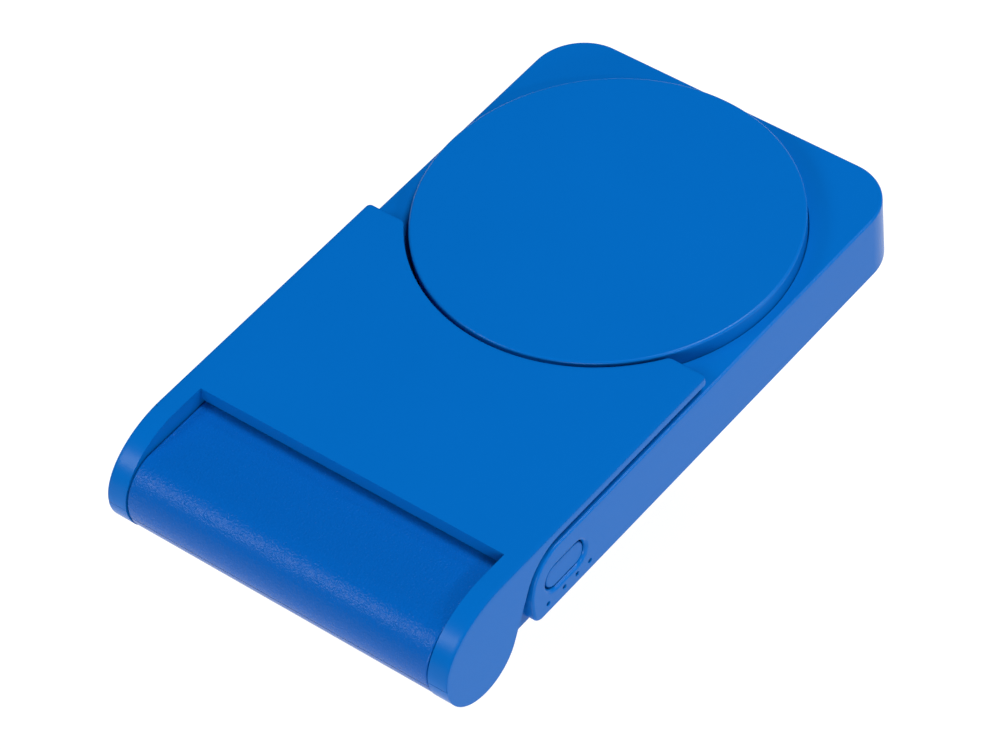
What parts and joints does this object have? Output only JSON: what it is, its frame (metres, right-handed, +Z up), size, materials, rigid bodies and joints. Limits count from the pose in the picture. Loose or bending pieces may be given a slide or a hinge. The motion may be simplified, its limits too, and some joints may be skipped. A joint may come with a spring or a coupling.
{
  "type": "folding-stand wireless power bank",
  "caption": "Flat power bank with a raised round magnetic charging disc and a fold-out stand flap whose ears turn on a barrel hinge; side power button, status lights and charging socket.",
  "frame": {"origin": "centre of the footprint in plan, at the height of the lowest line of the hinge barrel's ears", "axes": "+X along the hinge towards the power button's side, +Y from the hinge to the charging disc's end, +Z up out of the charging disc"},
  "size_m": [0.0638, 0.1118, 0.0176],
  "materials": {
    "blue_shell": "moulded ABS, fine satin texture",
    "blue_disc": "moulded ABS, smooth satin",
    "blue_button": "moulded ABS, satin",
    "black_plastic": "moulded, matt",
    "white_plastic": "moulded acetal",
    "steel": "stamped or turned, plain",
    "magnet": "nickel plated magnet",
    "copper": "enamelled copper wire",
    "ferrite": "sintered, matt",
    "aluminium_sheet": "rolled sheet",
    "battery_pouch": "laminated foil pouch",
    "foam": "closed-cell foam",
    "circuit_board": "solder mask on glass epoxy",
    "nickel": "nickel strip",
    "red_wire": "silicone wire jacket",
    "led": "clear resin on a white body",
    "light_guide": "clear acrylic"
  },
  "bodies": {
    "housing": {"top_housing": "blue_shell", "bottom_cover": "blue_shell", "charging_disc_cap": "blue_disc", "coil_carrier": "black_plastic", "magnet_ring": "magnet", "magnet_yoke": "steel", "charging_coil": "copper", "ferrite_sheet": "ferrite", "coil_lead_outer": "copper", "coil_lead_inner": "copper", "heat_spreader": "aluminium_sheet", "battery_cell": "battery_pouch", "battery_foam_pad_near": "foam", "battery_foam_pad_far": "foam", "protection_board": "circuit_board", "cell_tab_positive": "nickel", "cell_tab_negative": "nickel", "battery_lead_positive": "red_wire", "battery_lead_negative": "black_plastic", "main_board": "circuit_board", "controller_chip": "black_plastic", "charger_chip": "black_plastic", "power_inductor": "ferrite", "status_led_1": "led", "status_led_2": "led", "status_led_3": "led", "status_led_4": "led", "led_light_guide": "light_guide", "usb_c_socket": "steel", "usb_c_tongue": "black_plastic", "tactile_switch": "black_plastic", "board_screw_left": "steel", "board_screw_right": "steel", "hinge_bush_left": "white_plastic", "hinge_bush_right": "white_plastic", "hinge_bracket_left": "steel", "hinge_bracket_right": "steel", "bracket_screw_left": "steel", "bracket_screw_right": "steel"},
    "stand_flap": {"flap_cover": "blue_shell", "flap_inner_cover": "blue_shell", "flap_stiffener": "steel", "hinge_shaft_left": "steel", "hinge_shaft_right": "steel", "spring_washer_left": "steel", "spring_washer_right": "steel", "lock_nut_left": "steel", "lock_nut_right": "steel"},
    "button": {"power_button": "blue_button"},
    "plunger": {"switch_plunger": "white_plastic"}
  },
  "joints": [
    {"name": "flap_hinge", "type": "hinge", "parent": "housing", "child": "stand_flap", "pos_m": [0, -0.0479, 0.008], "axis": [1, 0, 0], "range_deg": [0, 270]},
    {"name": "button_press", "type": "slide", "parent": "housing", "child": "button", "axis": [-1, 0, 0], "range_m": [0, 0.00035], "stiffness_N_per_m": 3000, "springref_m": -0.0001},
    {"name": "plunger_press", "type": "slide", "parent": "housing", "child": "plunger", "axis": [-1, 0, 0], "range_m": [0, 0.00035]}
  ],
  "couplings": [
    {"joint": "plunger_press", "follows": "button_press", "ratio": 1}
  ]
}
